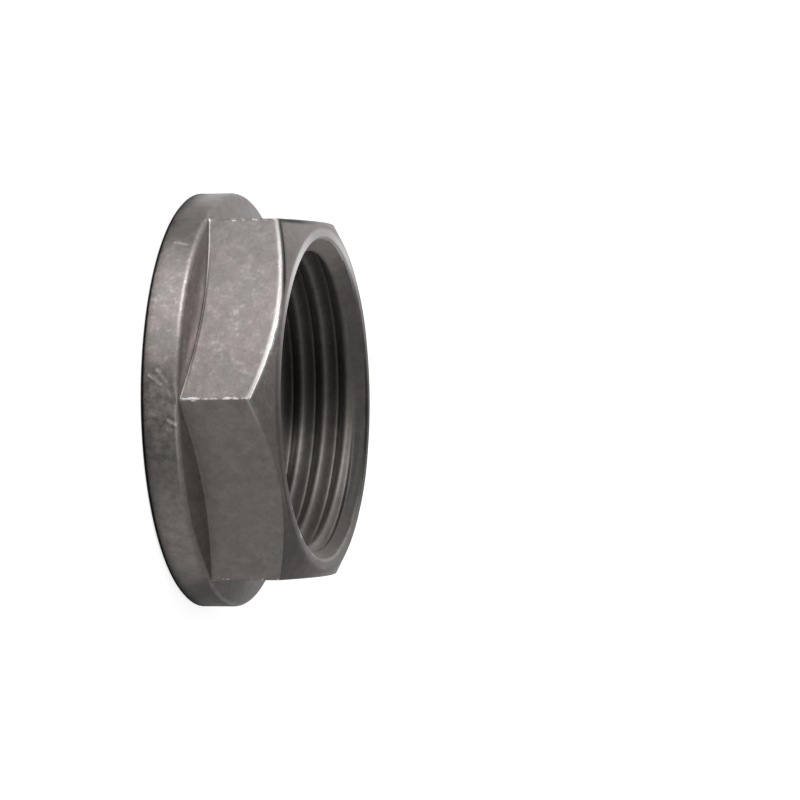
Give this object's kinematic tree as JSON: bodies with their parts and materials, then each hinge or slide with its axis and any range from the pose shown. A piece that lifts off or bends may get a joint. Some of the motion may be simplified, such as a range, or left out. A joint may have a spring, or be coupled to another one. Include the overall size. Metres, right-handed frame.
{
  "type": "cable gland locknut",
  "caption": "Hexagonal locknut with a round collar and a threaded bore, which clamps a cable gland to an enclosure wall.",
  "frame": {"origin": "centre of the collar's bearing face, on the bore's axis", "axes": "+Z along the bore from the bearing face to the hexagon's front, -Y towards one corner of the hexagon, +X normal to a wrench flat"},
  "size_m": [0.0258, 0.0258, 0.008],
  "materials": {
    "nickel": "satin"
  },
  "bodies": {
    "root": {"locknut": "nickel"}
  },
  "joints": []
}
